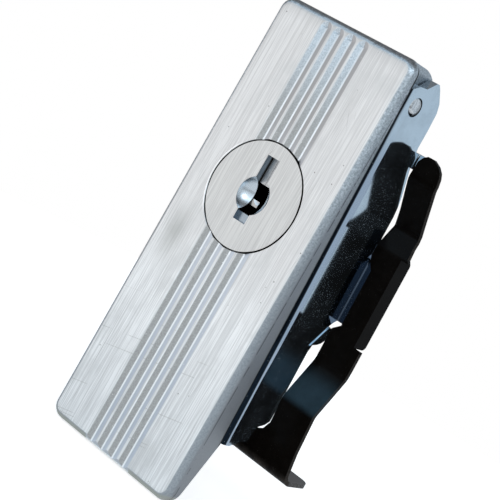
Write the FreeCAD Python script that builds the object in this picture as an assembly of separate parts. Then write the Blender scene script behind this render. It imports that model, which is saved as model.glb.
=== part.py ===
"""Flush lift-handle panel lock: a cast handle block with a keyed disc, hinged in a folded steel housing.

Millimetres. X runs to the right across the face, Y into the panel, Z up along the housing.
The origin is the centre of the lock disc on the handle's face.
The handle pieces are drawn in the handle's own frame, whose face is the plane y = 0, and are then
leaned by face_lean, because the casting is a wedge: thin at its hinge and thick at its toe.
"""
import FreeCAD, Part
import math
import os
from FreeCAD import Vector

# Lock disc, its barrel and its keyhole
disc_radius = 9.5
disc_thickness = 2.4
disc_gap = 0.15
barrel_step = 1.3
turning_clearance = 0.08
keyway_width = 2.75
keyway_below = 4.75
keyway_end_wall = 1.0
channel_wall = 0.25
dish_radius = 3.3
dish_depth = 2.33
lower_floor_depth = 0.9
ward_width = 1.6
ward_height = 1.1
ward_drop = 0.5
ward_depth = 2.2
ward_length = 3.0

# Tumblers
tumbler_count = 2
tumbler_play = 0.05
tumbler_side_gap = 0.2
tumbler_front = 1.6
tumbler_end_room = 1.0
tumbler_low = 2.4
tumbler_travel = 0.7
tumbler_top_room = 0.2

# Handle block
face_lean = 3.18
face_overhang = 0.3
face_above = 31.8
face_below = 49.9
face_edge_radius = 1.45
face_corner_radius = 2.4
top_thickness = 1.69
groove_count = 4
groove_pitch = 2.8
groove_ridge = 0.15
groove_depth = 0.45
groove_margin = 0.8
rim_chamfer = 0.12
rim_flare = 1.2
toe_length = 12.2
toe_end_thickness = 2.3
scoop_depth = 8.0
scoop_margin = 1.8
scoop_slope = 0.9
wall = 2.0
boss_wall = 1.4
boss_depth = 9.0

# Folded housing
sheet = 1.7
housing_half_width = 15.0
housing_depth = 9.8
toe_overlap = 0.3
bend_radius = 2.0
inner_bend_radius = 0.5
panel_gap = 0.45
window_clearance = 0.8
keeper_half_width = 5.0
keeper_bend_radius = 1.2

# Hinge
hinge_pin_radius = 1.55
hub_margin = 0.19
pin_chamfer = 0.3
pin_head = 0.1
pin_hole_gap = 0.12
running_clearance = 0.06
knuckle_radius = 6.25
knuckle_cover = 0.45
lug_inner = 6.2
side_clearance = 0.3
stop_corner_height = 5.0

# Locking cam behind the disc
washer_thickness = 0.7
washer_margin = 0.6
cam_thickness = 1.5
cam_half_width = 4.0
cam_side_clearance = 2.0
cam_shoulder = 2.2
cam_slot_clearance = 1.2
seat_gap = 0.3
square_half = 3.0
square_corner = 0.75
screw_radius = 2.0
screw_hole_gap = 0.15
screw_head_radius = 3.4
screw_head_height = 2.0
screw_head_chamfer = 0.7
recess_width = 0.7
recess_margin = 1.5
recess_depth = 1.2
lock_washer_thickness = 0.6
lock_washer_margin = 0.9
tooth_count = 12
tooth_gap = 0.7

# Latch hook and return spring on the hinge pin
hook_thickness = 3.0
hook_reach = 17.0
hook_half_height = 3.5
hook_nose = 4.0
cross_pin_radius = 1.0
cross_pin_margin = 0.6
cross_pin_back = 2.9
cross_pin_grip = 4.3
spring_wire = 1.0
spring_pin_gap = 0.85
spring_turns = 4
spring_landing = 2.2
spring_arm_length = 6.0
spring_bearing_gap = 0.08
wire_sides = 8

# Horseshoe spring clip
clip_sheet = 0.8
clip_clearance = 0.25
clip_leg_width = 7.15
clip_foot_flare = 0.35
clip_tip_inset = 1.15
clip_tip_taper = 0.3
clip_tip_cover = 0.4
clip_foot_drop = 2.2
clip_bridge_width = 5.4
clip_stand_off = 2.6
clip_tip_rise = 2.0
clip_hump_drop = 1.9
clip_knee_rise = 3.25
clip_foot_rise = 2.2
clip_lip_length = 8.2
clip_knee_height = 27.2
clip_bend = 1.4
lip_corner_radius = 2.2
clip_notch_width = 1.4
clip_notch_slope = 1.2
wing_depth = 3.4
wing_inset = 1.5
wing_corner_radius = 0.8

# Outward tabs of the housing that carry the clip
tab_top_length = 2.7
tab_top_drop = 6.5
tab_middle_low = -12.4
tab_middle_high = -0.6
tab_low_length = 3.6
tab_low_gap = 1.2
tab_width = 3.6
tab_top_width = 2.6
tab_fold_gap = 0.05
tab_fold_round = 0.6
tab_bend = 0.9
finger_reach = 3.0
finger_gap = 0.1
touch = 0.02

# Sizes that follow from those above
lean = math.radians(face_lean)
barrel_radius = disc_radius - barrel_step
boss_radius = barrel_radius + boss_wall
window_radius = boss_radius + window_clearance
sheet_inner = housing_half_width - sheet
face_half_width = housing_half_width + face_overhang
handle_back = top_thickness * math.cos(lean) + face_above * math.sin(lean)
housing_front = handle_back + panel_gap
housing_back = housing_front + housing_depth
housing_below = face_below - toe_length + toe_overlap
web_back = housing_front + sheet
spring_coil_radius = hinge_pin_radius + spring_pin_gap + spring_wire / 2
hub_radius = spring_coil_radius + spring_wire / 2 + hub_margin
hinge_depth = handle_back + side_clearance + hub_radius
hinge_height = face_above - knuckle_radius - knuckle_cover
spring_foot_drop = hinge_height - window_radius - spring_landing
spring_foot_back = web_back + spring_wire / 2 + spring_bearing_gap - hinge_depth
open_top_height = hinge_height - knuckle_radius - 3.2
groove_width = groove_pitch - groove_ridge
keyway_end = boss_depth - keyway_end_wall
tumbler_width = (keyway_width - tumbler_side_gap - (tumbler_count + 1) * tumbler_play) / tumbler_count
tumbler_high = barrel_radius - channel_wall - tumbler_top_room - tumbler_travel
tumbler_back = keyway_end - tumbler_end_room
cam_front = boss_depth + washer_thickness + running_clearance
cam_back = cam_front + cam_thickness
cam_reach = sheet_inner - cam_side_clearance
lock_washer_radius = screw_head_radius + lock_washer_margin
lock_washer_back = cam_back + lock_washer_thickness
hook_left = touch - lug_inner
hook_right = hook_left + hook_thickness
cross_pin_left = -lug_inner - cross_pin_grip
cross_pin_drop = hook_half_height - cross_pin_margin - cross_pin_radius
tab_low = (tab_middle_low - tab_low_gap - tab_low_length, tab_middle_low - tab_low_gap)
tab_top = (hinge_height - tab_top_drop - tab_top_length, hinge_height - tab_top_drop)
tab_fold = clip_clearance - tab_fold_gap
wing_low = tab_middle_low - 2.2
wing_high = tab_middle_high + 2.6
clip_inner = housing_half_width + clip_clearance
clip_half_width = clip_inner + clip_leg_width
clip_foot_half_width = clip_half_width + clip_foot_flare
clip_tip_half_width = clip_half_width - clip_tip_inset
clip_tip_height = tab_top[1] + clip_tip_cover
clip_below = housing_below + clip_foot_drop
clip_mid_depth = housing_back + clip_stand_off
clip_tip_depth = clip_mid_depth - clip_tip_rise
tab_depth = clip_mid_depth + clip_sheet + touch
tab_top_depth = clip_tip_depth + clip_sheet + touch
clip_lip_end = clip_mid_depth - clip_foot_rise + clip_lip_length


def box(x0, x1, y0, y1, z0, z1):
    """Box between two corners."""
    return Part.makeBox(x1 - x0, y1 - y0, z1 - z0, Vector(x0, y0, z0))


def rod_x(radius, x0, x1, y, z):
    """Cylinder that lies along X."""
    return Part.makeCylinder(radius, x1 - x0, Vector(x0, y, z), Vector(1, 0, 0))


def rod_y(radius, y0, y1, x=0.0, z=0.0):
    """Cylinder that lies along Y."""
    return Part.makeCylinder(radius, y1 - y0, Vector(x, y0, z), Vector(0, 1, 0))


def side_plate(outline, x0, x1):
    """Plate drawn by its side outline in Y and Z, as thick as x0 to x1."""
    points = [Vector(x0, y, z) for y, z in outline]
    return Part.Face(Part.makePolygon(points + points[:1])).extrude(Vector(x1 - x0, 0, 0))


def front_plate(outline, y0, y1):
    """Plate drawn by its front outline in X and Z, as thick as y0 to y1."""
    points = [Vector(x, y0, z) for x, z in outline]
    return Part.Face(Part.makePolygon(points + points[:1])).extrude(Vector(0, y1 - y0, 0))


def edges_along(shape, direction, keep):
    """Straight edges that run along a direction and whose middle passes the test."""
    chosen = []
    for edge in shape.Edges:
        if len(edge.Vertexes) != 2:
            continue
        run = edge.Vertexes[1].Point - edge.Vertexes[0].Point
        if run.Length < 1e-6 or run.cross(direction).Length > 1e-4 * run.Length:
            continue
        if keep(edge.CenterOfMass):
            chosen.append(edge)
    return chosen


def leaned(shape):
    """Takes a shape from the handle's frame to the lock's frame."""
    turned = shape.copy()
    turned.rotate(Vector(0, 0, 0), Vector(1, 0, 0), -face_lean)
    return turned


def in_handle(y, z):
    """Point of the lock's frame, given in the handle's frame."""
    return y * math.cos(lean) - z * math.sin(lean), y * math.sin(lean) + z * math.cos(lean)


def back_at(z):
    """Depth of the handle's flat back behind its face, at a height on the face."""
    return (handle_back - z * math.sin(lean)) / math.cos(lean)


def handle_blank():
    """Wedge of the casting, with its rounded face edges and its undercut toe."""
    toe_root = toe_length - face_below
    outline = [
        (0, face_above),
        (0, -face_below),
        (toe_end_thickness, -face_below),
        (back_at(toe_root), toe_root),
        (back_at(face_above), face_above),
    ]
    blank = side_plate(outline, -face_half_width, face_half_width)
    corners = edges_along(
        blank, Vector(0, 1, 0), lambda c: abs(c.z - face_above) < 0.01 or abs(c.z + face_below) < 0.01
    )
    blank = blank.makeFillet(face_corner_radius, corners)
    rim = [e for e in blank.Edges if all(abs(v.Point.y) < 1e-4 for v in e.Vertexes)]
    rim = [e for e in rim if abs(e.CenterOfMass.y) < 1e-3]
    thinnest = min(top_thickness, toe_end_thickness)
    return blank.makeFillet(min(face_edge_radius, 0.9 * thinnest), rim)


def face_grooves():
    """Lengthwise grooves of V section, round-ended at the top and running out over the bottom edge."""
    half = groove_width / 2
    top = face_above - groove_margin - half
    above = 0.5
    wide = half * (1 + above / groove_depth)
    cutters = []
    for index in range(groove_count):
        x = (index - (groove_count - 1) / 2) * groove_pitch
        points = [Vector(x - wide, -above, top), Vector(x, groove_depth, top), Vector(x + wide, -above, top)]
        run = Part.Face(Part.makePolygon(points + points[:1])).extrude(Vector(0, 0, -top - face_below - 1))
        end = Part.makeCone(wide, 0, groove_depth + above, Vector(x, -above, top), Vector(0, 1, 0))
        cutters.append(run.fuse(end))
    return Part.makeCompound(cutters)


def knuckles():
    """Two hinge lugs behind the top of the face, round about the hinge pin."""
    y, z = in_handle(hinge_depth, hinge_height)
    outer = sheet_inner - side_clearance
    root = back_at(z) - 0.8
    foot = z - knuckle_radius - 2.5
    outline = [
        (root, z + knuckle_radius),
        (y, z + knuckle_radius),
        (y, z - knuckle_radius),
        (back_at(foot), foot),
        (root, foot),
    ]
    lugs = []
    for x0, x1 in ((lug_inner, outer), (-outer, -lug_inner)):
        behind_face = box(x0, x1, root, y + knuckle_radius, z - knuckle_radius, z + knuckle_radius)
        barrel = rod_x(knuckle_radius, x0, x1, y, z).common(behind_face)
        lugs.append(side_plate(outline, x0, x1).fuse(barrel))
    return lugs


def handle_block():
    """Cast handle: face, grooves, hinge lugs, barrel boss, cored back and finger toe."""
    y, z = in_handle(hinge_depth, hinge_height)
    block = handle_blank().fuse([*knuckles(), rod_y(boss_radius, disc_thickness, boss_depth)])
    rim = disc_radius + disc_gap
    bore = rod_y(rim, -1, disc_thickness)
    flare = Part.makeCone(rim + rim_flare, rim, rim_flare, Vector(0, rim_chamfer - rim_flare, 0), Vector(0, 1, 0))
    barrel_bore = rod_y(barrel_radius + turning_clearance, 0, boss_depth + 1)
    pin_bore = rod_x(hinge_pin_radius + running_clearance, -face_half_width, face_half_width, y, z)
    cross_y, cross_z = in_handle(hinge_depth + cross_pin_back, hinge_height - cross_pin_drop)
    cross_bore = rod_x(cross_pin_radius, cross_pin_left, 0, cross_y, cross_z)
    block = block.cut([bore, flare, barrel_bore, pin_bore, cross_bore, face_grooves(), toe_scoop(), core_pocket()])
    return block.removeSplitter()


def toe_scoop():
    """Hollow behind the toe where a fingertip pulls."""
    half = face_half_width - 3 * wall
    start = wall - face_below + scoop_margin
    stop = toe_length - face_below - scoop_margin
    outline = [
        (wall, start),
        (scoop_depth, start + scoop_slope),
        (scoop_depth, stop),
        (wall + scoop_slope, stop - scoop_slope),
    ]
    return side_plate(outline, -half, half)


def core_pocket():
    """Three cored pockets that thin the thick lower half of the casting."""
    half = face_half_width - 1.6 * wall
    high = -boss_radius - 1.6
    low = toe_length - face_below + wall
    front = wall + groove_depth
    outline = [(front, high), (scoop_depth, high), (scoop_depth, low), (front, low)]
    pocket = side_plate(outline, -half, half)
    third = half / 3
    ribs = [box(x - wall / 2, x + wall / 2, 0, scoop_depth + 1, low - 1, high + 1) for x in (-third, third)]
    return pocket.cut(ribs)


def keyway():
    """Keyhole cut: slot above and below a dished centre, open to the middle of the barrel."""
    half = keyway_width / 2
    above = box(-half, half, -1, tumbler_front, 0, tumbler_high + tumbler_play)
    channel_top = barrel_radius - channel_wall
    channel = box(-half, half, tumbler_front - tumbler_play, keyway_end, 0, channel_top)
    below = box(-half, half, -1, lower_floor_depth, -keyway_below, 0)
    middle = box(-half, half, -1, keyway_end, tumbler_play - dish_radius, 0)
    sphere_radius = (dish_radius ** 2 + dish_depth ** 2) / (2 * dish_depth)
    dish = Part.makeSphere(sphere_radius, Vector(0, dish_depth - sphere_radius, 0))
    return above.fuse([channel, below, middle, dish])


def lock_plug():
    """Turning disc and barrel with the keyhole, and a square tail for the cam."""
    plug = rod_y(disc_radius, 0, disc_thickness - turning_clearance)
    plug = plug.fuse(rod_y(barrel_radius, disc_thickness / 2, boss_depth + washer_thickness))
    tail = box(-square_half, square_half, boss_depth, cam_back, -square_half, square_half)
    plug = plug.fuse(tail.common(rod_y(square_half + square_corner, boss_depth, cam_back)))
    plug = plug.cut([keyway(), rod_y(screw_radius, boss_depth, cam_back + 1)])
    half = keyway_width / 2
    ward_low = -ward_drop - ward_height
    ward = box(-half - 0.2, ward_width - half, ward_depth, ward_depth + ward_length, ward_low, -ward_drop)
    return plug.fuse(ward).removeSplitter()


def tumblers():
    """Flat tumblers side by side in the upper keyway."""
    plates = []
    for index in range(tumbler_count):
        x0 = -keyway_width / 2 + tumbler_play + index * (tumbler_width + tumbler_play)
        x1 = x0 + tumbler_width
        plates.append(box(x0, x1, tumbler_front, tumbler_back, tumbler_low, tumbler_high))
    return Part.makeCompound(plates)


def plug_washer():
    """Washer between the boss and the cam, on the barrel's end."""
    ring = rod_y(boss_radius - washer_margin, boss_depth + touch, boss_depth + washer_thickness)
    return ring.cut(rod_y(barrel_radius + running_clearance, boss_depth - 1, boss_depth + 2))


def locking_cam():
    """Tongue on the plug's square tail that reaches behind the keeper when it is turned down."""
    plate = rod_y(boss_radius - cam_shoulder, cam_front, cam_back)
    tongue = box(0, cam_reach, cam_front, cam_back, -cam_half_width, cam_half_width)
    tongue = tongue.common(rod_y(cam_reach, cam_front, cam_back))
    side = square_half + running_clearance
    hole = box(-side, side, cam_front - 1, cam_back + 1, -side, side)
    hole = hole.common(rod_y(side + square_corner, cam_front - 1, cam_back + 1))
    return plate.fuse(tongue).cut(hole).removeSplitter()


def cam_lock_washer():
    """Toothed washer under the cam screw's head."""
    ring = rod_y(lock_washer_radius, cam_back, lock_washer_back)
    ring = ring.cut(rod_y(screw_radius + screw_hole_gap, cam_back - 1, lock_washer_back + 1))
    half = tooth_gap / 2
    root = screw_head_radius + lock_washer_margin / 2
    notches = []
    for index in range(tooth_count):
        notch = box(root, lock_washer_radius + 1, cam_back - 1, lock_washer_back + 1, -half, half)
        notch.rotate(Vector(0, 0, 0), Vector(0, 1, 0), 360 * index / tooth_count)
        notches.append(notch)
    return ring.cut(notches)


def cam_screw():
    """Pan-head screw that holds the cam on the plug, with a cross recess."""
    shank = rod_y(screw_radius, boss_depth + 0.4, lock_washer_back + 0.2)
    top = lock_washer_back + screw_head_height
    head = rod_y(screw_head_radius, lock_washer_back, top)
    rim = [e for e in head.Edges if abs(e.CenterOfMass.y - top) < 1e-3]
    head = head.makeChamfer(screw_head_chamfer, rim)
    reach = screw_head_radius - recess_margin
    half = recess_width / 2
    floor = top - recess_depth
    cross = box(-reach, reach, floor, top + 1, -half, half).fuse(box(-half, half, floor, top + 1, -reach, reach))
    return shank.fuse(head).cut(cross)


def ear_arc():
    """Front of an ear: an arc about the hinge that the opening handle clears."""
    points = []
    for angle in (172, 160, 148, 136, 124, 112):
        turn = math.radians(angle)
        points.append((hinge_depth + hub_radius * math.cos(turn), hinge_height + hub_radius * math.sin(turn)))
    return points


def flange_outline():
    """Side outline of the housing: stepped bottom, back that widens beside the clip, eared top with its stop corner."""
    floor = -housing_below
    corner = housing_back
    notch = hinge_height + 3.45
    return [
        (housing_front, floor),
        (housing_front + 2.6, floor),
        (corner - 4.7, floor + 1.2),
        (corner - 3.2, floor + 1.2),
        (corner - 3.0, floor + 3.2),
        (corner - 2.3, floor + 4.3),
        (corner - 0.9, floor + 4.8),
        (corner, floor + 5.6),
        (corner, tab_low[0] - 1.9),
        (corner + 0.3, tab_low[0] - 0.3),
        (tab_depth - 1.35, tab_low[1]),
        (tab_depth - 0.7, tab_middle_low - 0.5),
        (tab_depth, tab_middle_low),
        (tab_depth, tab_top[0] - 8.5),
        (tab_depth - 0.25, tab_top[0] - 6.6),
        (tab_depth - 0.75, tab_top[0] - 4.8),
        (tab_depth - 1.6, tab_top[0] - 2.6),
        (tab_top_depth - tab_fold_round, tab_top[0]),
        (corner, tab_top[1] + 0.8),
        (corner + 0.1, hinge_height - 2.4),
        (corner, hinge_height + 0.7),
        (corner - 0.6, hinge_height + 2.2),
        (corner - 2.4, hinge_height + 4.3),
        (corner - 3.2, hinge_height + stop_corner_height),
        (corner - 3.8, hinge_height + stop_corner_height),
        (hinge_depth + 0.6, notch),
        *reversed(ear_arc()),
        (housing_front, hinge_height - 2.0),
    ]


def outward_tab(z0, z1, y0, reach, side):
    """Tab folded sharply outwards from the back edge of one flange, behind the clip's leg."""
    inner = sheet_inner
    root = housing_back - 0.5
    outline = [
        (inner, root),
        (housing_half_width, root),
        (housing_half_width, y0 - tab_fold),
        (housing_half_width + tab_fold, y0),
        (housing_half_width + reach, y0),
        (housing_half_width + reach, y0 + sheet),
        (inner + tab_bend, y0 + sheet),
        (inner, y0 + sheet - tab_bend),
    ]
    points = [Vector(side * x, y, z0) for x, y in outline]
    return Part.Face(Part.makePolygon(points + points[:1])).extrude(Vector(0, 0, z1 - z0))


def finger_outline():
    """Side outline of the finger below the middle tab that keeps the clip's leg in line."""
    low, high = tab_low
    tip = housing_back + finger_reach
    return [
        (housing_back - 0.5, low - 0.6),
        (tip - 0.85, high - 0.2),
        (tip, high - 0.5),
        (tip, low + 1.4),
        (tip - 0.3, low + 0.8),
        (tip - 0.9, low + 0.25),
        (tip - 1.8, low - 0.15),
        (housing_back, low - 0.4),
    ]


def housing_window():
    """Opening in the web for the barrel boss and the cam's swing."""
    start = housing_front - 1
    stop = web_back + 1
    half = cam_half_width + cam_slot_clearance
    slot = box(0, cam_reach + side_clearance * 2, start, stop, -half, half)
    square = box(-keeper_half_width, keeper_half_width, start, stop, -window_radius, 0)
    return rod_y(window_radius, start, stop).fuse([slot, square])


def keeper():
    """Strip of the web folded back below the window, which the turned cam bears against."""
    top = -window_radius
    end = cam_front * math.cos(lean) + (top - sheet) * math.sin(lean) - seat_gap
    arm = box(-keeper_half_width, keeper_half_width, housing_front, end, top - sheet, top)
    fold = edges_along(arm, Vector(1, 0, 0), lambda c: abs(c.y - housing_front) < 0.01 and abs(c.z - top) < 0.01)
    return arm.makeFillet(keeper_bend_radius, fold)


def housing():
    """Folded housing: web to the front, two flanges, ears, tabs and keeper."""
    outline = flange_outline()
    body = side_plate(outline, -housing_half_width, housing_half_width)
    folds = edges_along(
        body,
        Vector(0, 0, 1),
        lambda c: abs(c.y - housing_front) < 0.01 and abs(abs(c.x) - housing_half_width) < 0.01,
    )
    body = body.makeFillet(bend_radius, folds)
    high = hinge_height + 20
    hollow = box(-sheet_inner, sheet_inner, web_back, housing_back + 5, -housing_below - 1, high)
    inner_folds = edges_along(hollow, Vector(0, 0, 1), lambda c: abs(c.y - web_back) < 0.01)
    hollow = hollow.makeFillet(inner_bend_radius, inner_folds)
    open_top = box(-sheet_inner, sheet_inner, housing_front - 5, housing_back + 5, open_top_height, high)
    pin_hole = rod_x(hinge_pin_radius + pin_hole_gap, -face_half_width, face_half_width, hinge_depth, hinge_height)
    body = body.cut([hollow, open_top, housing_window(), pin_hole])
    extras = [keeper()]
    finger_set = clip_clearance - finger_gap
    for side in (-1, 1):
        extras.append(outward_tab(*tab_top, tab_top_depth, tab_top_width, side))
        extras.append(outward_tab(tab_middle_low, tab_middle_high, tab_depth, tab_width, side))
        x0, x1 = sorted((side * (sheet_inner + finger_set), side * (housing_half_width + finger_set)))
        extras.append(side_plate(finger_outline(), x0, x1))
    return body.fuse(extras).removeSplitter()


def hinge_pin():
    """Pin through both ears and the handle's lugs, with chamfered ends."""
    reach = housing_half_width + pin_head
    pin = rod_x(hinge_pin_radius, -reach, reach, hinge_depth, hinge_height)
    rims = [e for e in pin.Edges if abs(abs(e.CenterOfMass.x) - reach) < 1e-3]
    return pin.makeChamfer(pin_chamfer, rims)


def latch_hook():
    """Steel hook that swings with the handle, on the hinge pin beside the left lug."""
    x0 = hook_left
    x1 = hook_right
    y = hinge_depth
    z = hinge_height
    tip = y + hook_reach
    outline = [
        (y, z - hook_half_height),
        (y + 6, z - hook_half_height),
        (tip, z - hook_half_height + 0.6),
        (tip, z + 0.6),
        (tip - 1.6, z + hook_nose),
        (tip - 4.2, z + hook_nose),
        (tip - 4.2, z + 0.4),
        (y + 6, z + hook_half_height - 0.6),
        (y, z + hook_half_height),
    ]
    arm = side_plate(outline, x0, x1).fuse(rod_x(hub_radius, x0, x1, y, z))
    pin_bore = rod_x(hinge_pin_radius + running_clearance, x0 - 1, x1 + 1, y, z)
    cross_bore = rod_x(cross_pin_radius, x0 - 1, x1 + 1, y + cross_pin_back, z - cross_pin_drop)
    return arm.cut([pin_bore, cross_bore]).removeSplitter()


def cross_pin():
    """Pin that ties the hook to the left lug."""
    y = hinge_depth + cross_pin_back
    return rod_x(cross_pin_radius, cross_pin_left, hook_right, y, hinge_height - cross_pin_drop)


def wire_section(centre, along):
    """Section of the spring's wire, with the few sides that a thin wire needs."""
    axis = Vector(along).normalize()
    across = Vector(0, axis.z, -axis.y).normalize()
    up = axis.cross(across)
    points = []
    for index in range(wire_sides):
        turn = 2 * math.pi * index / wire_sides
        reach = spring_wire / 2
        points.append(centre + across * (reach * math.cos(turn)) + up * (reach * math.sin(turn)))
    return Part.makePolygon(points + points[:1])


def spring_legs():
    """Turning angles about the pin at which the coil's two legs leave it, and the foot leg's length."""
    radius = spring_coil_radius
    arm = spring_arm_length
    under_hook = hook_half_height + spring_wire / 2 + spring_bearing_gap
    first = math.atan2(arm, radius) + math.asin(under_hook / math.hypot(arm, radius))
    foot = math.sqrt(spring_foot_drop ** 2 + spring_foot_back ** 2 - radius ** 2)
    last = math.acos(spring_foot_back / math.hypot(foot, radius)) - math.atan2(foot, radius)
    return math.degrees(first), math.degrees(last) + 360 * (spring_turns + 1), foot


def return_spring():
    """Coil about the hinge pin: one leg bears on the web's back, the other lifts the hook from below."""
    radius = spring_coil_radius
    first_angle, last_angle, foot_length = spring_legs()
    pitch = spring_wire * 1.08
    turns = (last_angle - first_angle) / 360
    helix = Part.makeHelix(pitch, pitch * turns, radius, 0, True)
    rise = pitch / (2 * math.pi)
    section = wire_section(Vector(radius, 0, 0), Vector(0, -radius, rise))
    coil = Part.Wire(helix).makePipeShell([section], True, True)
    coil.rotate(Vector(0, 0, 0), Vector(1, 1, 1), 120)
    coil.rotate(Vector(0, 0, 0), Vector(1, 0, 0), -first_angle)
    start_x = hook_right + spring_wire
    coil.translate(Vector(start_x, hinge_depth, hinge_height))
    pieces = [coil]
    ends = []
    for angle, x, sign, length in (
        (first_angle, start_x, -1, spring_arm_length),
        (last_angle, start_x + pitch * turns, 1, foot_length),
    ):
        turn = math.radians(angle)
        point = Vector(x, hinge_depth + radius * math.cos(turn), hinge_height - radius * math.sin(turn))
        along = Vector(rise, -radius * math.sin(turn), -radius * math.cos(turn)).normalize() * sign
        pieces.append(Part.Face(wire_section(point, along)).extrude(along * length))
        ends.append(point + along * length)
    arm_end = ends[0]
    pieces.append(Part.makeSphere(spring_wire / 2, arm_end))
    pieces.append(rod_x(spring_wire / 2, hook_left, arm_end.x, arm_end.y, arm_end.z))
    return pieces[0].fuse(pieces[1:])


def clip_path():
    """Front side of the clip's section from its lip up to its tips, as depth, height and bend radius."""
    hump = clip_mid_depth + clip_hump_drop
    tip_bend = tab_top[0] - 1.2
    return [
        (clip_lip_end, -clip_below, 0),
        (clip_mid_depth - clip_foot_rise, -clip_below, clip_bend),
        (clip_mid_depth - clip_knee_rise, -clip_knee_height, 2.0),
        (clip_mid_depth, wing_low - 5.0, 3.0),
        (clip_mid_depth, wing_high + 0.2, 0.8),
        (hump, wing_high + 4.2, 1.0),
        (clip_tip_depth, tip_bend, 3.0),
        (clip_tip_depth, clip_tip_height, 0),
    ]


def bent_sheet(path, thickness, x0, x1):
    """Sheet bent along a side path with round bends, its thickness laid on the path's inner side."""
    outer = []
    inner = []
    start = Vector(0, path[0][0], path[0][1])
    first = (Vector(0, path[1][0], path[1][1]) - start).normalize()
    last_outer = start
    last_inner = start + Vector(0, first.z, -first.y) * thickness
    first_inner = last_inner
    for index in range(1, len(path) - 1):
        here = Vector(0, path[index][0], path[index][1])
        before = (here - Vector(0, path[index - 1][0], path[index - 1][1])).normalize()
        after = (Vector(0, path[index + 1][0], path[index + 1][1]) - here).normalize()
        right_turn = before.y * after.z - before.z * after.y < 0
        outer_radius = path[index][2] + (thickness if right_turn else 0)
        inner_radius = path[index][2] + (0 if right_turn else thickness)
        half_turn = math.acos(max(-1.0, min(1.0, before.dot(after)))) / 2
        run = outer_radius * math.tan(half_turn)
        side = 1 if right_turn else -1
        arc_start = here - before * run
        arc_end = here + after * run
        centre = arc_start + Vector(0, before.z, -before.y) * (outer_radius * side)
        middle = (here - centre).normalize()
        share = inner_radius / outer_radius
        inner_start = centre + (arc_start - centre) * share
        inner_end = centre + (arc_end - centre) * share
        outer.append(Part.makeLine(last_outer, arc_start))
        outer.append(Part.Arc(arc_start, centre + middle * outer_radius, arc_end).toShape())
        inner.append(Part.makeLine(last_inner, inner_start))
        inner.append(Part.Arc(inner_start, centre + middle * inner_radius, inner_end).toShape())
        last_outer = arc_end
        last_inner = inner_end
    stop = Vector(0, path[-1][0], path[-1][1])
    inner_stop = stop + Vector(0, after.z, -after.y) * thickness
    outer.append(Part.makeLine(last_outer, stop))
    inner.append(Part.makeLine(last_inner, inner_stop))
    caps = [Part.makeLine(stop, inner_stop), Part.makeLine(first_inner, start)]
    wire = Part.Wire(Part.__sortEdges__(outer + [caps[0]] + inner + [caps[1]]))
    face = Part.Face(wire)
    face.translate(Vector(x0, 0, 0))
    return face.extrude(Vector(x1 - x0, 0, 0))


def clip_tip():
    """Rounded end of one leg, from its outer edge to its inner edge."""
    outer = clip_tip_half_width
    width = outer - clip_inner
    top = clip_tip_height
    return [
        (outer, top - 3.6),
        (outer - 0.04 * width, top - 2.3),
        (outer - 0.11 * width, top - 1.4),
        (outer - 0.25 * width, top - 0.6),
        (outer - 0.46 * width, top),
        (outer - 0.68 * width, top),
        (clip_inner + 0.2 * width, top - 0.5),
        (clip_inner + 0.1 * width, top - 1.4),
        (clip_inner + clip_tip_taper, top - 4.6),
        (clip_inner + clip_tip_taper, wing_high + 7.0),
        (clip_inner, wing_high + 3.6),
    ]


def clip_outline():
    """Front outline of the clip: two legs joined by a bridge at the foot."""
    foot = -clip_below
    bridge = foot + clip_bridge_width
    notch = clip_inner + clip_notch_width
    right = [
        (clip_foot_half_width, foot - 1),
        (clip_foot_half_width, foot + 1.5),
        (clip_half_width, foot + 6.0),
        (clip_half_width, wing_high),
        (clip_half_width - 0.6, wing_high + 0.6),
        (clip_tip_half_width - 0.1, wing_high + 2.4),
        (clip_tip_half_width - 0.5, wing_high + 4.2),
        (clip_tip_half_width - 0.4, wing_high + 6.6),
        *clip_tip(),
        (clip_inner, tab_middle_high + 0.8),
        (clip_inner + 0.5, tab_middle_high - 0.4),
        (notch, tab_middle_high - 0.4 - clip_notch_slope),
        (notch, tab_middle_low - 0.2),
        (clip_inner, tab_middle_low - 0.2 - clip_notch_slope),
        (clip_inner, bridge + 2.4),
        (clip_inner - 0.8, bridge + 0.8),
        (clip_inner - 2.4, bridge),
    ]
    left = [(-x, z) for x, z in reversed(right)]
    return right + left


def wing(side):
    """Flange folded back from the outer margin of one clip leg."""
    edge = clip_half_width - wing_inset
    front = clip_mid_depth
    blade = box(edge - clip_sheet, edge, front, front + wing_depth, wing_low, wing_high)
    fold = edges_along(blade, Vector(0, 0, 1), lambda c: abs(c.y - front) < 0.01 and c.x > edge - 0.01)
    blade = blade.makeFillet(clip_sheet * 0.9, fold)
    ends = edges_along(blade, Vector(1, 0, 0), lambda c: c.y > front + 1)
    blade = blade.makeFillet(wing_corner_radius, ends)
    return blade if side > 0 else blade.mirror(Vector(0, 0, 0), Vector(1, 0, 0))


def spring_clip():
    """Horseshoe clip of spring sheet: two bowed legs with wings, a bridge and a lip."""
    edge = clip_half_width - wing_inset
    clip = bent_sheet(clip_path(), clip_sheet, -clip_foot_half_width - 1, clip_foot_half_width + 1)
    clip = clip.common(front_plate(clip_outline(), 0, clip_lip_end + 5))
    corners = edges_along(clip, Vector(0, 0, 1), lambda c: abs(c.y - clip_lip_end) < 0.01)
    clip = clip.makeFillet(lip_corner_radius, corners)
    for side in (-1, 1):
        x0, x1 = sorted((side * edge, side * (clip_half_width + 2)))
        margin = box(x0, x1, clip_mid_depth - 1, clip_mid_depth + 3, wing_low, wing_high)
        clip = clip.cut(margin).fuse(wing(side))
    return clip.removeSplitter()


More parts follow.
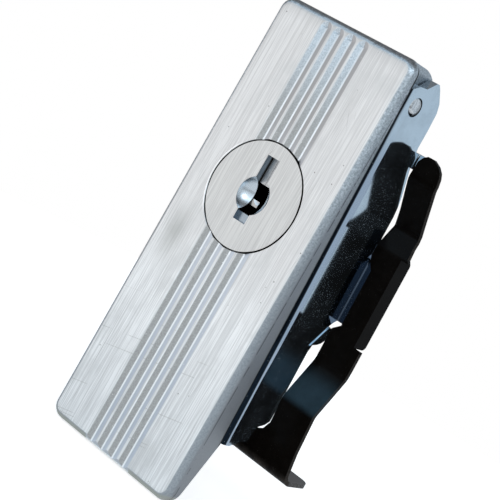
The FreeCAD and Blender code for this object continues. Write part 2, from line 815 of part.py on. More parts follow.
def main():
    os.makedirs("parts", exist_ok=True)
    pieces = {
        "handle_block": leaned(handle_block()),
        "lock_plug": leaned(lock_plug()),
        "tumblers": leaned(tumblers()),
        "plug_washer": leaned(plug_washer()),
        "locking_cam": leaned(locking_cam()),
        "cam_lock_washer": leaned(cam_lock_washer()),
        "cam_screw": leaned(cam_screw()),
        "housing": housing(),
        "hinge_pin": hinge_pin(),
        "latch_hook": latch_hook(),
        "cross_pin": cross_pin(),
        "return_spring": return_spring(),
        "spring_clip": spring_clip(),
    }
    for name, shape in pieces.items():
        if not shape.isValid() or not shape.Solids:
            raise ValueError(name + " is not a valid solid")
        box_of = shape.BoundBox
        print(
            f"{name}: {len(shape.Solids)} solids, volume {shape.Volume:.0f},"
            f" x {box_of.XMin:.1f} to {box_of.XMax:.1f}, y {box_of.YMin:.1f} to {box_of.YMax:.1f},"
            f" z {box_of.ZMin:.1f} to {box_of.ZMax:.1f}"
        )
        shape.exportStep(f"parts/{name}.step")


main()
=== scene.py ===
"""Looks of the flush lift-handle panel lock: materials, light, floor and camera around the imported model."""
import math

import bpy
from mathutils import Matrix, Vector


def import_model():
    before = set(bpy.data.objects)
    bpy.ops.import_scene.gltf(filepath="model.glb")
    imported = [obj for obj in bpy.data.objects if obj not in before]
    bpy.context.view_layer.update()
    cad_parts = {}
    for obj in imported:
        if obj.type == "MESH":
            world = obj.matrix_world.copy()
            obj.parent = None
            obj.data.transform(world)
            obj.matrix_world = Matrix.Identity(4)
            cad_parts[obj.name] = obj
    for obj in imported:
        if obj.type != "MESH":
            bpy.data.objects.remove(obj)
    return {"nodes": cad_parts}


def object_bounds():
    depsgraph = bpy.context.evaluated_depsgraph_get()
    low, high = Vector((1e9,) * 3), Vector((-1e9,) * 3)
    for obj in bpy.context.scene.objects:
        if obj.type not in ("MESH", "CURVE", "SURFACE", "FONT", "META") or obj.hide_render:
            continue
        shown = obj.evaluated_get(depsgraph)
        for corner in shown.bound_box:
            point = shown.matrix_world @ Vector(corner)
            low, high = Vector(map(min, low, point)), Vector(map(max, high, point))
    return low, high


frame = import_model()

cad_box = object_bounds()

MM = 0.001

# Places on the part in millimetres, from the lock disc's centre: x to the right, depth into the panel, z up
LEAN = math.radians(3.18)
DISC_RADIUS = 9.5
BORE_RADIUS = 9.65
LIT_RIM_RADIUS = 9.90
DISH_RADIUS = 3.5
DISH_CENTRE = (0, -1.17, 0)
WARD_DEPTH = 2.2
PARTING_DEPTH = 1.62
DARK_PATCH_CENTRE = (-10.4, 0, -12.0)
PIN_DEPTH = 7.3415
PIN_HEIGHT = 25.1
HOUSING_FRONT = 3.90

# Limits of the masks in the same measures: where a mask is 0, then where it is 1
FACE_SKIN = (0.10, 0.03)
FACE_LOWER_HALF = (-5, -22)
FACE_TOP_END = (28.0, 31.2)
FACE_TOE_END = (-22, -28)
FACE_CORNER_HEIGHTS = (12, 20)
FACE_CORNER_SIDE = (5, 8)
EDGE_DARK_HEIGHTS = (14, -12)
SIDE_DARK_HEIGHTS = (24, -4)
GROOVE_SIDES = (5.75, 5.60)
GROOVE_DEPTHS = (1.0, 0.6)
GROOVE_TOPS = (31.3, 31.0)
GROOVE_UPPER_HALF = (12, 30)
GROOVE_RIGHT_UPPER = (-2, 16)
GROOVE_VALLEY = (0.36, 0.42)
LIT_RIM_SIDE = (-7.0, -8.5)
LIT_RIM_DEPTHS = (0.3, 0.1)
GAP_DEPTHS = (1.5, 1.0)
BLOCK_BACK = (3.10, 3.30)
BLOCK_SIDES = (14.6, 15.0)
DISC_SKIN = (0.06, 0.02)
KEYHOLE_DEPTHS = (0.03, 0.06)
KEYHOLE_REACH = (8.0, 7.9)
KEYHOLE_DARK = (0.95, 1.4)
WARD_HEIGHTS = (0.2, -0.2)
FOLD_DEPTHS = (HOUSING_FRONT + 2.8, HOUSING_FRONT + 2.4)
FOLD_HEIGHTS = (22, 14)
SLIT_DEPTHS = (HOUSING_FRONT + 1.25, HOUSING_FRONT + 1.05)
SLIT_SIDES = (14.0, 14.4)
TAB_DEPTHS = (13.6, 14.0)
FOOT_HEIGHTS = (-38.2, -39.6)
LIP_HEIGHTS = (-38.8, -39.1)
LIP_DEPTHS = (15.5, 16.5)

# Bands of height: where a band starts, is full, fades and ends
TAB_BAND = (-13.9, -13.6, 4.4, 4.8)
# The sheen band is where the clip's lower bend gets a painted reflection.
SHEEN_BAND = (-28.0, -26.4, -24.0, -20.0)
WING_BAND = (-15.2, -14.8, 2.2, 2.6)

# How much the darker patch on the face fades with each millimetre from its centre
DARK_PATCH_FADE = (0.24, 0, 0.11)

# Plated sheet is shaded as if it drew in slightly towards the back, and the painted shadow in the slit beside
# the block leans
TAPER = 0.018
SLIT_SLOPE = 0.011

# Height that the rivet's flat end is shaded round, and how far its rim shadow lies to the lower back
DOME_HEIGHT = 2.0
RIM_SHIFT = 0.20

# Refractive index of the clip's oxide: low, so that it stays black where it is seen at a low angle
OXIDE_INDEX = 1.11

# Soft panels of the surround, in degrees. Azimuth is counted from the front towards the right.
# Each row: azimuth, its full and faded half width, the band of elevation as above, colour, strength
PANELS = (
    (0, 60, 85, (18, 28, 42, 56), (0.66, 0.85, 1.0), 1.1),
    (-48, 28, 64, (-60, -30, -2, 29), (0.99, 0.995, 1.0), 0.90),
    (32, 36, 56, (-11, 3, 28, 44), (0.80, 0.92, 1.0), 0.80),
    (143, 38, 72, (-60, -30, 40, 60), (0.74, 0.88, 1.0), 0.52),
)
ROOM_TONE = (0.21, 0.21, 0.215)

# Floor in metres, and how much it glows for the camera and in the metal's reflections
FLOOR_RADIUS = 0.19
FLOOR_DROP = 0.0004
FLOOR_SEEN = 0.70
FLOOR_MIRRORED = 0.25

# The photograph's viewpoint: lens and sensor in millimetres, place in metres and the picture's axes
LENS = 122.85
SENSOR_WIDTH = 36
CAMERA_PLACE = (0.1681, -0.2213, 0.0295)
CAMERA_RIGHT = (0.6728, 0.5751, 0.4654)
CAMERA_UP = (-0.4482, -0.1836, 0.8748)
CAMERA_BACK = (0.5886, -0.7972, 0.1341)


def grey(value):
    return (value, value, value)


class Graph:
    """A node tree, with short calls for the nodes used here."""

    def __init__(self, tree):
        self.nodes = tree.nodes
        self.links = tree.links
        self.nodes.clear()
        self.coords = self.nodes.new("ShaderNodeTexCoord").outputs

    def put(self, socket, value):
        """Links a socket, or sets a plain value. A plain colour gets its alpha here."""
        if isinstance(value, bpy.types.NodeSocket):
            self.links.new(value, socket)
        elif socket.type == "RGBA":
            socket.default_value = (*value, 1.0)
        else:
            socket.default_value = value

    def math(self, operation, *values):
        node = self.nodes.new("ShaderNodeMath")
        node.operation = operation
        for socket, value in zip(node.inputs, values):
            self.put(socket, value)
        return node.outputs[0]

    def times(self, first, *others):
        for other in others:
            first = self.math("MULTIPLY", first, other)
        return first

    def plus(self, a, b):
        return self.math("ADD", a, b)

    def minus(self, a, b):
        return self.math("SUBTRACT", a, b)

    def linear(self, value, slope, start):
        """The start, and slope times the value on top of it."""
        return self.math("MULTIPLY_ADD", value, slope, start)

    def most(self, a, b):
        return self.math("MAXIMUM", a, b)

    def absolute(self, value):
        return self.math("ABSOLUTE", value)

    def hypot(self, a, b):
        return self.math("SQRT", self.plus(self.times(a, a), self.times(b, b)))

    def step(self, value, low, high):
        """0 before low, 1 past high, smooth between them. Low may be the larger one."""
        node = self.nodes.new("ShaderNodeMapRange")
        node.interpolation_type = "SMOOTHSTEP"
        node.inputs["From Min"].default_value = low
        node.inputs["From Max"].default_value = high
        self.put(node.inputs["Value"], value)
        return node.outputs["Result"]

    def band(self, value, start, full, fade, end):
        return self.times(self.step(value, start, full), self.step(value, end, fade))

    def near(self, value, centre, full, faded):
        """1 within full of the centre, 0 past faded."""
        return self.step(self.absolute(self.minus(value, centre)), faded, full)

    def vector(self, operation, *values):
        node = self.nodes.new("ShaderNodeVectorMath")
        node.operation = operation
        for socket, value in zip(node.inputs, values):
            self.put(socket, value)
        return node.outputs["Value" if operation in ("LENGTH", "DOT_PRODUCT") else "Vector"]

    def scaled(self, vector, factor):
        node = self.nodes.new("ShaderNodeVectorMath")
        node.operation = "SCALE"
        self.put(node.inputs[0], vector)
        self.put(node.inputs["Scale"], factor)
        return node.outputs["Vector"]

    def turned(self, vector, angle):
        """The vector turned about X."""
        node = self.nodes.new("ShaderNodeMapping")
        node.inputs["Rotation"].default_value = (angle, 0, 0)
        self.put(node.inputs["Vector"], vector)
        return node.outputs[0]

    def split(self, vector):
        node = self.nodes.new("ShaderNodeSeparateXYZ")
        self.put(node.inputs[0], vector)
        return node.outputs

    def joined(self, *parts):
        node = self.nodes.new("ShaderNodeCombineXYZ")
        for socket, part in zip(node.inputs, parts):
            self.put(socket, part)
        return node.outputs[0]

    def mix(self, kind, share, a, b):
        """a where the share is 0, b where it is 1. The node has sockets of every kind under one name."""
        node = self.nodes.new("ShaderNodeMix")
        node.data_type = "FLOAT" if kind == "VALUE" else kind
        self.put(node.inputs["Factor"], share)
        for name, value in (("A", a), ("B", b)):
            self.put(next(s for s in node.inputs if (s.name, s.type) == (name, kind)), value)
        return next(s for s in node.outputs if s.type == kind)

    def colour(self, share, a, b):
        return self.mix("RGBA", share, a, b)

    def blend(self, share, a, b):
        return self.mix("VALUE", share, a, b)

    def noise(self, vector, scale, detail=2.0, roughness=0.5):
        node = self.nodes.new("ShaderNodeTexNoise")
        self.put(node.inputs["Vector"], vector)
        node.inputs["Scale"].default_value = scale
        node.inputs["Detail"].default_value = detail
        node.inputs["Roughness"].default_value = roughness
        return node.outputs["Fac"]

    def specks(self, vector, scale, faded, full):
        """1 inside round specks, one to each cell of the scale."""
        node = self.nodes.new("ShaderNodeTexVoronoi")
        self.put(node.inputs["Vector"], vector)
        node.inputs["Scale"].default_value = scale
        return self.step(node.outputs["Distance"], faded, full)


class Look(Graph):
    """A material: its shader, and the place in millimetres and the normal in the part's own axes."""

    def __init__(self, name):
        self.material = bpy.data.materials.new(name)
        self.material.use_nodes = True
        super().__init__(self.material.node_tree)
        self.shader = self.nodes.new("ShaderNodeBsdfPrincipled")
        output = self.nodes.new("ShaderNodeOutputMaterial")
        self.links.new(self.shader.outputs[0], output.inputs[0])
        self.place = self.scaled(self.coords["Object"], 1 / MM)
        self.normal = self.coords["Normal"]

    def facing(self, share, normal):
        """The surface's own normal, or where share is 1 the given one, which is in the part's axes."""
        turn = self.nodes.new("ShaderNodeVectorTransform")
        turn.vector_type = "NORMAL"
        turn.convert_from = "OBJECT"
        turn.convert_to = "WORLD"
        self.put(turn.inputs[0], normal)
        own = self.nodes.new("ShaderNodeNewGeometry").outputs["Normal"]
        return self.vector("NORMALIZE", self.mix("VECTOR", share, own, turn.outputs[0]))

    def bump(self, height, distance, strength, below=None):
        """Bumps of the given distance in millimetres, on the normal below if there is one."""
        node = self.nodes.new("ShaderNodeBump")
        node.inputs["Distance"].default_value = distance * MM
        node.inputs["Strength"].default_value = strength
        self.put(node.inputs["Height"], height)
        if below is not None:
            self.links.new(below, node.inputs["Normal"])
        return node.outputs[0]

    def finish(self, colour, roughness, metallic, normal=None):
        self.put(self.shader.inputs["Base Color"], colour)
        self.put(self.shader.inputs["Roughness"], roughness)
        self.put(self.shader.inputs["Metallic"], metallic)
        if normal is not None:
            self.links.new(normal, self.shader.inputs["Normal"])
        return self.material


def scratches(g, x, z, angle, spacing, seed, width, share, bow=0.0):
    """Straight or bowed thin scratches at an angle, each broken along its length: 1 on a scratch."""
    seed_shift = 31.7
    row_shift = 40.0
    pieces_per_mm = 0.07
    cosine, sine = math.cos(angle), math.sin(angle)
    along = g.plus(g.times(x, cosine), g.times(z, sine))
    across = g.minus(g.times(z, cosine), g.times(x, sine))
    across = g.linear(g.times(along, along), bow, across)
    rows = g.nodes.new("ShaderNodeTexVoronoi")
    rows.voronoi_dimensions = "1D"
    g.put(rows.inputs["W"], g.plus(across, seed * seed_shift))
    rows.inputs["Scale"].default_value = 1 / spacing
    thin = g.step(g.times(rows.outputs["Distance"], spacing), width, width * 0.4)
    row = g.split(rows.outputs["Color"])[0]
    piece = g.joined(g.times(along, pieces_per_mm), g.times(row, row_shift), seed)
    broken = g.step(g.noise(piece, 1.0, 1.0), 1.0 - share, 1.03 - share)
    return g.times(thin, broken)


def brushed_lines(g, place, across, along, shift=(0, 0, 0)):
    """Fine lines along Z: noise with one scale across them and a smaller one along them."""
    shifted = g.vector("ADD", place, shift)
    return g.noise(g.vector("MULTIPLY", shifted, (across, across, along)), 1.0, 3.0, 0.6)


def brushed_tone(g, face, dark, light):
    """Tone and line pattern of a surface ground lengthwise, with a few deeper dark lines."""
    fine = brushed_lines(g, face, across=5.5, along=0.12)
    long = brushed_lines(g, face, across=3.6, along=0.03, shift=(9, 4, 5))
    lines = g.plus(g.times(fine, 0.55), g.times(long, 0.45))
    tone = g.colour(g.step(lines, 0.40, 0.60), dark, light)
    deep = g.step(brushed_lines(g, face, across=6.0, along=0.04, shift=(3, 8, 2)), 0.62, 0.66)
    return g.colour(g.times(deep, 0.45), tone, grey(0.34)), lines


def disc_gap(g, x, z, edge, side):
    """Distance from the disc's centre, and a painted shade line of uneven width along the gap round the disc.
    Side is 1 outside the gap and -1 inside it."""
    radius = g.hypot(x, z)
    away = g.times(g.minus(radius, edge), side)
    spread = g.linear(g.noise(g.place, 0.22), 0.20, -0.06)
    return radius, g.step(g.minus(away, spread), 0.05, 0.0)


def block_face(g, face):
    """Tone, brushed lines and wear of the block's ground front, with painted reflection and shade by height.
    """
    x, _, z = g.split(face)
    # Painted reflection: the lower part of the face is lighter and bluer.
    lower = g.step(z, *FACE_LOWER_HALF)
    dark = g.colour(lower, grey(0.59), (0.64, 0.652, 0.658))
    light = g.colour(lower, grey(0.75), (0.88, 0.893, 0.90))
    tone, lines = brushed_tone(g, face, dark, light)
    broad = g.noise(face, 0.10, 4.0, 0.6)
    tone = g.colour(g.times(g.step(broad, 0.50, 0.72), 0.6), tone, (0.58, 0.59, 0.59))
    # Painted shade: darker at the top end of the face.
    tone = g.colour(g.times(g.step(z, *FACE_TOP_END), 0.5), tone, grey(0.50))
    # A darker patch on the face, left of the disc's lower edge.
    to_dark_patch = g.vector("MULTIPLY", g.vector("SUBTRACT", face, DARK_PATCH_CENTRE), DARK_PATCH_FADE)
    dark_patch = g.step(g.plus(g.vector("LENGTH", to_dark_patch), g.times(broad, 1.1)), 1.45, 0.40)
    tone = g.colour(g.times(dark_patch, 0.75), tone, (0.42, 0.43, 0.42))
    pits = g.times(g.specks(face, 0.55, 0.085, 0.04), g.step(g.noise(face, 0.3), 0.52, 0.58))
    toe_marks = scratches(g, x, z, angle=0.22, spacing=3.0, seed=3.1, width=0.08, share=0.46)
    toe_marks = g.times(toe_marks, g.step(z, *FACE_TOE_END))
    corner_marks = scratches(g, x, z, angle=2.3, spacing=1.3, seed=5.9, width=0.08, share=0.40, bow=0.02)
    corner_marks = g.times(corner_marks, g.step(z, *FACE_CORNER_HEIGHTS), g.step(x, *FACE_CORNER_SIDE))
    long_marks = scratches(g, x, z, angle=1.40, spacing=4.5, seed=11.7, width=0.06, share=0.38)
    marks = g.most(g.most(toe_marks, corner_marks), g.times(long_marks, 0.7))
    wear = g.most(pits, g.times(marks, 0.34))
    return g.colour(wear, tone, (0.25, 0.24, 0.23)), lines, wear


def block_edge(g, grain, nx, nz, z):
    """Tone of the tumbled edges, sides and ends, with painted reflection and shade: light and gritty above,
    darker and plainer below.
    """
    tone = g.colour(g.step(grain, 0.36, 0.66), (0.32, 0.36, 0.39), (0.60, 0.64, 0.68))
    # Painted reflection: darker towards the bottom.
    tone = g.colour(g.times(g.step(z, *EDGE_DARK_HEIGHTS), 0.65), tone, (0.29, 0.31, 0.33))
    # Painted shade: the sides are darker, more so lower down.
    side = g.step(g.absolute(nx), 0.90, 0.99)
    side_share = g.times(side, g.linear(g.step(z, *SIDE_DARK_HEIGHTS), 0.60, 0.18))
    tone = g.colour(side_share, tone, (0.30, 0.31, 0.33))
    # Painted light: faces turned down are painted a greenish grey for how they are lit.
    facing_down = g.step(nz, -0.25, -0.45)
    return g.colour(facing_down, tone, (0.40, 0.41, 0.38))


def block_grooves(g, face, grit, nx):
    """Tone of the as-cast grooves: a gritty left slope, a plainer right one, a painted highlight line and
    debris.
    """
    _, y, z = g.split(face)
    # Painted reflection: the left slope is lighter and bluer higher up, the right slope lighter and bluer
    # lower down.
    upper = g.step(z, *GROOVE_UPPER_HALF)
    left_slope = g.colour(upper, (0.34, 0.335, 0.33), (0.44, 0.50, 0.55))
    left_grit = g.colour(upper, (0.46, 0.46, 0.45), (0.68, 0.74, 0.79))
    left_slope = g.colour(g.step(grit, 0.36, 0.66), left_slope, left_grit)
    right_slope = g.colour(g.step(z, *GROOVE_RIGHT_UPPER), (0.58, 0.63, 0.70), (0.40, 0.40, 0.41))
    tone = g.colour(g.step(nx, -0.04, 0.04), right_slope, left_slope)
    # Painted highlight along the bottom of each groove, brighter lower down.
    valley_highlight = g.colour(upper, (0.92, 0.94, 0.96), (0.70, 0.73, 0.76))
    tone = g.colour(g.step(y, *GROOVE_VALLEY), tone, valley_highlight)
    debris = g.times(g.specks(face, 1.5, 0.16, 0.08), g.step(g.noise(face, 0.45), 0.54, 0.6))
    return g.colour(g.times(debris, 0.7), tone, (0.92, 0.91, 0.88))


def cast_block():
    """Brushed face, tumbled edges and sides, and gritty as-cast grooves of the handle block, with painted
    shade in its gaps.
    """
    g = Look("cast_alloy_look")
    part_depth = g.split(g.place)[1]
    face = g.turned(g.place, LEAN)
    x, y, z = g.split(face)
    nx, _, nz = g.split(g.normal)
    grain = g.noise(face, 3.0, 4.0, 0.75)
    grit = g.noise(face, 4.2, 4.0, 0.75)
    on_face = g.step(y, *FACE_SKIN)
    in_width = g.step(g.absolute(x), *GROOVE_SIDES)
    in_grooves = g.times(in_width, g.step(y, *GROOVE_DEPTHS), g.step(z, *GROOVE_TOPS))

    face_tone, lines, wear = block_face(g, face)
    tone = g.colour(in_grooves, block_edge(g, grain, nx, nz, z), block_grooves(g, face, grit, nx))
    tone = g.colour(on_face, tone, face_tone)
    rough = g.blend(on_face, g.blend(in_grooves, 0.30, 0.36), g.linear(lines, 0.12, 0.36))
    left_slope = g.step(nx, 0, 0.05)
    groove_height = g.times(grit, g.blend(left_slope, 0.15, 1.5))
    height = g.blend(in_grooves, g.times(grain, 1.3), groove_height)
    height = g.blend(on_face, height, g.times(lines, 0.25))
    height = g.minus(height, g.times(wear, on_face, 0.5))

    broken = g.step(g.noise(face, 0.5, 3.0), 0.42, 0.48)
    parting = g.times(g.near(y, PARTING_DEPTH, 0.05, 0.14), broken)
    height = g.minus(height, g.times(parting, 0.8))
    tone = g.colour(g.times(parting, 0.8), tone, (0.10, 0.10, 0.11))

    radius, gap = disc_gap(g, x, z, BORE_RADIUS, 1)
    lit_rim = g.times(g.near(radius, LIT_RIM_RADIUS, 0.05, 0.12), g.step(x, *LIT_RIM_SIDE))
    tone = g.colour(g.times(lit_rim, g.step(y, *LIT_RIM_DEPTHS)), tone, grey(0.97))
    # Painted shade: near black in the gap round the disc and along the back edge of the block's sides.
    back_edge_shadow = g.times(g.step(part_depth, *BLOCK_BACK), g.step(g.absolute(x), *BLOCK_SIDES))
    painted_shade = g.most(g.times(gap, g.step(y, *GAP_DEPTHS)), back_edge_shadow)
    tone = g.colour(painted_shade, tone, grey(0.02))
    return g.finish(tone, rough, 1.0, g.bump(height, distance=0.05, strength=0.8))


def lock_disc():
    """Brushed disc with a polished dish round a keyhole painted dark as shade, and painted shade round its
    edge.
    """
    g = Look("lock_disc_look")
    face = g.turned(g.place, LEAN)
    x, y, z = g.split(face)
    on_face = g.step(y, *DISC_SKIN)
    tone, lines = brushed_tone(g, face, (0.53, 0.53, 0.525), (0.66, 0.66, 0.65))
    marks = scratches(g, x, z, angle=1.1, spacing=3.5, seed=21.3, width=0.07, share=0.36)
    tone = g.colour(g.times(marks, 0.35), tone, (0.3, 0.28, 0.26))

    radius, gap = disc_gap(g, x, z, DISC_RADIUS, -1)
    to_centre = g.vector("SUBTRACT", DISH_CENTRE, face)
    on_sphere = g.near(g.vector("LENGTH", to_centre), DISH_RADIUS, 0.05, 0.09)
    dish = g.times(on_sphere, g.minus(1.0, on_face))
    keyhole = g.times(g.step(y, *KEYHOLE_DEPTHS), g.step(radius, *KEYHOLE_REACH))
    # Painted shade: deep inside the keyhole the colour is near black.
    deep = g.times(keyhole, g.step(y, *KEYHOLE_DARK))
    ward = g.times(g.near(y, WARD_DEPTH, 0.02, 0.05), g.step(z, *WARD_HEIGHTS))
    tone = g.colour(keyhole, tone, (0.30, 0.35, 0.40))
    tone = g.colour(deep, tone, (0.014, 0.010, 0.006))
    tone = g.colour(ward, tone, (0.42, 0.42, 0.41))
    tone = g.colour(dish, tone, (0.66, 0.71, 0.75))
    # Painted shade in the gap round the disc.
    tone = g.colour(gap, tone, (0.02, 0.018, 0.016))

    rough = g.blend(on_face, 0.26, g.linear(lines, 0.12, 0.34))
    rough = g.blend(dish, rough, 0.27)
    smooth = g.facing(dish, g.turned(g.vector("NORMALIZE", to_centre), -LEAN))
    height = g.times(lines, on_face, 0.25)
    return g.finish(tone, rough, 1.0, g.bump(height, distance=0.05, strength=0.8, below=smooth))


def housing_shades(g, tone):
    """The housing's front fold painted darker, its lower tabs as a painted dark reflection, and the painted
    shadow in the slit beside the block.
    """
    x, y, z = g.split(g.place)
    fold = g.times(g.step(y, *FOLD_DEPTHS), g.step(z, *FOLD_HEIGHTS))
    tone = g.colour(fold, tone, (0.42, 0.50, 0.60))
    # Painted reflection: the lower tabs are painted dark blue.
    dark_tab_reflection = g.times(g.step(y, *TAB_DEPTHS), g.band(z, *TAB_BAND))
    tone = g.colour(dark_tab_reflection, tone, (0.13, 0.18, 0.25))
    # Painted shadow in the slit beside the block.
    slit_depth = g.linear(z, SLIT_SLOPE, y)
    slit = g.times(g.step(slit_depth, *SLIT_DEPTHS), g.step(g.absolute(x), *SLIT_SIDES))
    return g.colour(slit, tone, (0.008, 0.014, 0.022))


def zinc(name, tint, roughness, shades=None):
    """Bright zinc plating: bluish, a little cloudy, with dust, and with further shades if they are given."""
    g = Look(name)
    clouds = g.noise(g.place, 0.35, 4.0, 0.6)
    rolled = brushed_lines(g, g.place, across=7.0, along=0.5)
    patch = g.step(g.noise(g.place, 0.25, 3.0), 0.38, 0.60)
    dust = g.times(g.specks(g.place, 2.8, 0.17, 0.05), g.linear(patch, 0.75, 0.15))
    haze = g.times(g.linear(patch, 0.6, 0.4), g.step(g.noise(g.place, 3.2, 3.0, 0.75), 0.40, 0.75))
    tone = g.colour(g.step(clouds, 0.35, 0.7), tint, [v * 0.88 for v in tint])
    if shades:
        tone = shades(g, tone)
    tone = g.colour(g.times(dust, 0.8), tone, (0.42, 0.43, 0.43))
    rough = g.linear(dust, 0.4, g.linear(clouds, 0.05, roughness))
    metal = g.minus(g.linear(haze, -0.07, 1.0), g.times(dust, 0.45))
    height = g.plus(g.times(rolled, 0.10), g.times(clouds, 0.5))
    tapered = g.facing(1.0, g.vector("NORMALIZE", g.vector("ADD", g.normal, (0, TAPER, 0))))
    return g.finish(tone, rough, metal, g.bump(height, distance=0.02, strength=0.25, below=tapered))


def black_spring():
    """Semi-gloss black oxide on spring sheet: painted sheen on the lower bend and light on the bottom rim,
    dust, barer cut edges.
    """
    g = Look("black_spring_look")
    _, depth, height = g.split(g.place)
    nx = g.split(g.normal)[0]
    clouds = g.noise(g.place, 0.5, 4.0, 0.65)
    fine = g.noise(g.place, 5.0, 3.0, 0.7)
    dust = g.times(g.specks(g.place, 2.3, 0.13, 0.05), g.step(g.noise(g.place, 0.8), 0.46, 0.58))
    # Painted reflection: a bluish sheen on the lower bend.
    painted_sheen = g.times(g.band(height, *SHEEN_BAND), g.linear(clouds, 0.6, 0.6))
    foot = g.times(g.step(height, *FOOT_HEIGHTS), g.step(g.noise(g.place, 0.4), 0.3, 0.6))
    # Painted light: the upper face of the clip's bottom rim is painted light grey.
    lit_lip = g.times(g.step(height, *LIP_HEIGHTS), g.step(depth, *LIP_DEPTHS))
    cut_edge = g.times(g.step(g.absolute(nx), 0.75, 0.95), g.minus(1.0, g.band(height, *WING_BAND)))

    tone = g.colour(g.step(clouds, 0.3, 0.7), (0.0026, 0.0017, 0.0011), (0.0042, 0.0030, 0.0022))
    tone = g.colour(painted_sheen, tone, (0.024, 0.043, 0.056))
    tone = g.colour(foot, tone, (0.040, 0.031, 0.025))
    tone = g.colour(lit_lip, tone, (0.17, 0.16, 0.155))
    tone = g.colour(g.times(dust, 0.35), tone, (0.12, 0.115, 0.11))
    tone = g.colour(g.times(cut_edge, g.step(fine, 0.3, 0.7)), tone, (0.045, 0.036, 0.030))
    rough = g.linear(dust, 0.3, g.linear(clouds, 0.14, 0.18))
    g.shader.inputs["IOR"].default_value = OXIDE_INDEX
    bumps = g.plus(g.times(fine, 0.3), clouds)
    return g.finish(tone, rough, 0.0, g.bump(bumps, distance=0.03, strength=0.3))


def bright_pin():
    """Bright pin with a softly domed end and a shadowed rim."""
    g = Look("pin_look")
    _, depth, height = g.split(g.place)
    across = g.minus(depth, PIN_DEPTH)
    up = g.minus(height, PIN_HEIGHT)
    nx = g.split(g.normal)[0]
    end = g.step(g.absolute(nx), 0.5, 0.6)
    fine = g.noise(g.place, 3.0, 3.0, 0.65)
    tone = g.colour(g.step(fine, 0.35, 0.65), (0.56, 0.58, 0.60), (0.80, 0.82, 0.84))
    shade = g.linear(g.minus(across, up), RIM_SHIFT, g.hypot(across, up))
    tone = g.colour(g.times(end, g.step(shade, 1.26, 1.46)), tone, (0.04, 0.045, 0.05))
    dome = g.joined(g.times(g.math("SIGN", nx), DOME_HEIGHT), across, up)
    normal = g.facing(end, g.vector("NORMALIZE", dome))
    rough = g.linear(fine, 0.12, 0.10)
    return g.finish(tone, rough, 1.0, g.bump(fine, distance=0.03, strength=0.5, below=normal))


def plain_metal(name, light, dark, roughness):
    """Turned, rolled or drawn metal with fine uneven tone."""
    g = Look(name)
    fine = g.noise(g.place, 5.0, 3.0, 0.65)
    broad = g.noise(g.place, 0.7, 3.0, 0.6)
    uneven = g.linear(broad, 0.5, g.times(fine, 0.5))
    tone = g.colour(g.step(uneven, 0.35, 0.65), dark, light)
    rough = g.linear(fine, 0.14, roughness)
    return g.finish(tone, rough, 1.0, g.bump(fine, distance=0.02, strength=0.4))


def dress():
    """Gives every CAD node its material."""
    steel_look = zinc("plated_steel_look", (0.62, 0.66, 0.69), 0.24)
    pin_look = bright_pin()
    looks = {
        "handle_block": cast_block(),
        "lock_plug": lock_disc(),
        "tumblers": plain_metal("tumbler_look", grey(0.60), grey(0.40), 0.30),
        "plug_washer": steel_look,
        "locking_cam": steel_look,
        "cam_lock_washer": steel_look,
        "cam_screw": steel_look,
        "housing": zinc("zinc_look", (0.60, 0.71, 0.80), 0.055, housing_shades),
        "hinge_pin": pin_look,
        "latch_hook": steel_look,
        "cross_pin": pin_look,
        "return_spring": plain_metal("spring_wire_look", (0.42, 0.42, 0.43), (0.20, 0.20, 0.21), 0.25),
        "spring_clip": black_spring(),
    }
    for name, material in looks.items():
        node = frame["nodes"][name]
        node.data.materials.clear()
        node.data.materials.append(material)


def floor():
    """Round pale floor just under the block's toe, brighter to the eye than in the metal's reflections."""
    place = (0, 0, cad_box[0].z - FLOOR_DROP)
    bpy.ops.mesh.primitive_circle_add(vertices=96, radius=FLOOR_RADIUS, fill_type="NGON", location=place)
    disc = bpy.context.object
    disc.name = "floor"
    g = Look("floor_look")
    g.finish(g.colour(g.noise(g.place, 0.02), grey(0.90), grey(0.93)), 0.8, 0.0)
    path = g.nodes.new("ShaderNodeLightPath").outputs
    seen = g.times(path["Is Camera Ray"], FLOOR_SEEN)
    glow = g.linear(path["Is Glossy Ray"], FLOOR_MIRRORED, seen)
    g.put(g.shader.inputs["Emission Color"], grey(1))
    g.put(g.shader.inputs["Emission Strength"], glow)
    disc.data.materials.append(g.material)


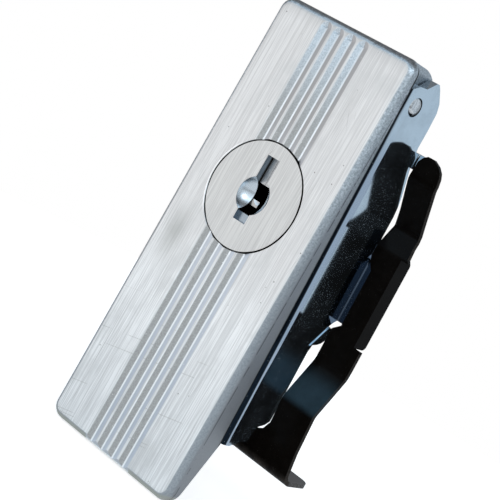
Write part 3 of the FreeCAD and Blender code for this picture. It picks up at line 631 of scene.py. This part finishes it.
def world():
    """Studio surround for light and reflections: soft panels on a dim room, and plain white where the
    camera sees it."""
    surround = bpy.data.worlds.new("studio")
    bpy.context.scene.world = surround
    surround.use_nodes = True
    g = Graph(surround.node_tree)
    direction = g.coords["Generated"]
    height = g.split(direction)[2]
    level = g.vector("NORMALIZE", g.vector("MULTIPLY", direction, (1, 1, 0)))
    light = ROOM_TONE
    for azimuth, inner, outer, elevations, tone, strength in PANELS:
        towards = math.radians(azimuth)
        facing = g.vector("DOT_PRODUCT", level, (math.sin(towards), -math.cos(towards), 0))
        beside = g.step(facing, math.cos(math.radians(outer)), math.cos(math.radians(inner)))
        upright = g.band(height, *(math.sin(math.radians(v)) for v in elevations))
        panel = g.scaled([v * strength for v in tone], g.times(beside, upright))
        light = g.vector("ADD", light, panel)
    lit = g.nodes.new("ShaderNodeBackground")
    g.put(lit.inputs["Color"], light)
    seen = g.nodes.new("ShaderNodeBackground")
    g.put(seen.inputs["Color"], grey(1))
    path = g.nodes.new("ShaderNodeLightPath")
    mix = g.nodes.new("ShaderNodeMixShader")
    out = g.nodes.new("ShaderNodeOutputWorld")
    g.put(mix.inputs[0], path.outputs["Is Camera Ray"])
    g.put(mix.inputs[1], lit.outputs[0])
    g.put(mix.inputs[2], seen.outputs[0])
    g.put(out.inputs[0], mix.outputs[0])


def softbox(name, place, target, size, power, tint):
    """Square area lamp of the given size in metres and power in watts, aimed at the target."""
    data = bpy.data.lights.new(name, "AREA")
    data.size = size
    data.energy = power
    data.color = tint
    lamp = bpy.data.objects.new(name, data)
    bpy.context.collection.objects.link(lamp)
    lamp.location = place
    lamp.rotation_euler = (Vector(target) - Vector(place)).to_track_quat("-Z", "Y").to_euler()


def lights():
    softbox("key", place=(-0.34, -0.44, 0.05), target=(0, 0, -0.01), size=0.40, power=0.10, tint=grey(1))
    cool = (0.88, 0.95, 1.0)
    softbox("right", place=(0.40, -0.30, 0.28), target=(0, 0, 0), size=0.20, power=0.30, tint=cool)


def camera():
    """The photograph's viewpoint, rolled so that the lock leans to the right."""
    data = bpy.data.cameras.new("camera")
    data.sensor_width = SENSOR_WIDTH
    data.lens = LENS
    data.clip_start = 0.01
    data.clip_end = 20
    eye = bpy.data.objects.new("camera", data)
    bpy.context.collection.objects.link(eye)
    turn = Matrix((CAMERA_RIGHT, CAMERA_UP, CAMERA_BACK)).transposed().to_4x4()
    eye.matrix_world = Matrix.Translation(CAMERA_PLACE) @ turn
    bpy.context.scene.camera = eye


dress()
floor()
world()
lights()
camera()
bpy.context.scene.view_settings.view_transform = "Standard"
